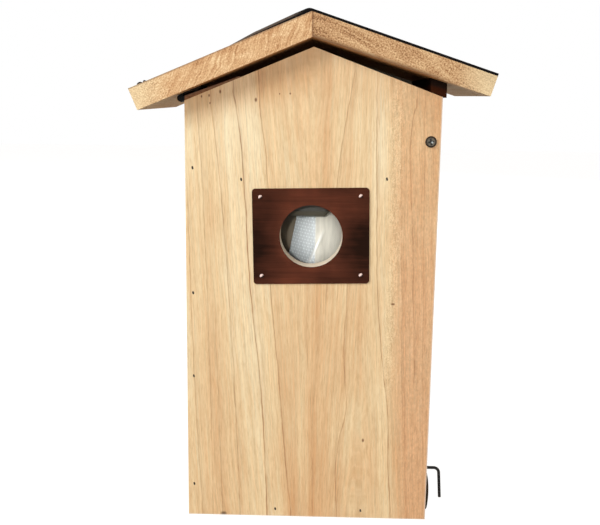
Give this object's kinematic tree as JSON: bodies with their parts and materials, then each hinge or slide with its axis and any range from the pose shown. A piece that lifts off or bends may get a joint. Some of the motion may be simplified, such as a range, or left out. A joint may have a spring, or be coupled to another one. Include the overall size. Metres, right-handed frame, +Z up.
{
  "type": "camera birdhouse",
  "caption": "Small wooden gable-roofed birdhouse with a round entrance in a metal plate, a pivoting side door, a hinged roof with a black cover, and a camera inside over the nest space.",
  "frame": {"origin": "middle of the overall box at its base, on the surface it stands on", "axes": "+Z up, -Y is the front with the entrance, +X is the side with the door"},
  "size_m": [0.2124, 0.137, 0.3157],
  "materials": {
    "wall_wood": "planed, unfinished, pale straight grain",
    "door_wood": "planed, unfinished",
    "inner_wood": "planed, unfinished",
    "roof_wood": "sawn, end grain at the front",
    "rest_wood": "stained",
    "roof_sheet": "matt black weatherproof sheet",
    "plate_metal": "dark red-brown, fine horizontal brushing, satin",
    "pin_steel": "polished domes",
    "screw_steel": "dark coated",
    "hook_steel": "black, satin",
    "latch_metal": "dark brown, satin",
    "hinge_steel": "black, satin",
    "camera_plastic": "moulded, matt",
    "bezel_plastic": "gloss",
    "lens_glass": "dark glossy lens",
    "mesh_plastic": "fine woven white mesh"
  },
  "bodies": {
    "box": {"front_wall": "wall_wood", "back_wall": "wall_wood", "left_wall": "wall_wood", "floor_board": "inner_wood", "hinge_front_wall_leaf": "hinge_steel", "hinge_front_pin": "hinge_steel", "hinge_rear_wall_leaf": "hinge_steel", "hinge_rear_pin": "hinge_steel", "entrance_plate": "plate_metal", "plate_pins": "pin_steel", "latch_hook": "hook_steel", "latch_plate": "latch_metal", "camera_shelf": "inner_wood", "camera_housing": "camera_plastic", "camera_bezel": "bezel_plastic", "camera_lens": "lens_glass", "climbing_mesh": "mesh_plastic"},
    "door": {"side_door": "door_wood", "pivot_screw_front": "screw_steel", "pivot_screw_back": "screw_steel"},
    "roof": {"roof_left_board": "roof_wood", "roof_right_board": "roof_wood", "roof_cover": "roof_sheet", "roof_rest": "rest_wood", "hinge_front_roof_leaf": "hinge_steel", "hinge_rear_roof_leaf": "hinge_steel"}
  },
  "joints": [
    {"name": "door_pivot", "type": "hinge", "parent": "box", "child": "door", "pos_m": [0.07127, 0, 0.2413], "axis": [0, -1, 0], "range_deg": [0, 90]},
    {"name": "roof_hinge", "type": "hinge", "parent": "box", "child": "roof", "pos_m": [-0.07753, 0, 0.26485], "axis": [0, -1, 0], "range_deg": [0, 65]}
  ]
}
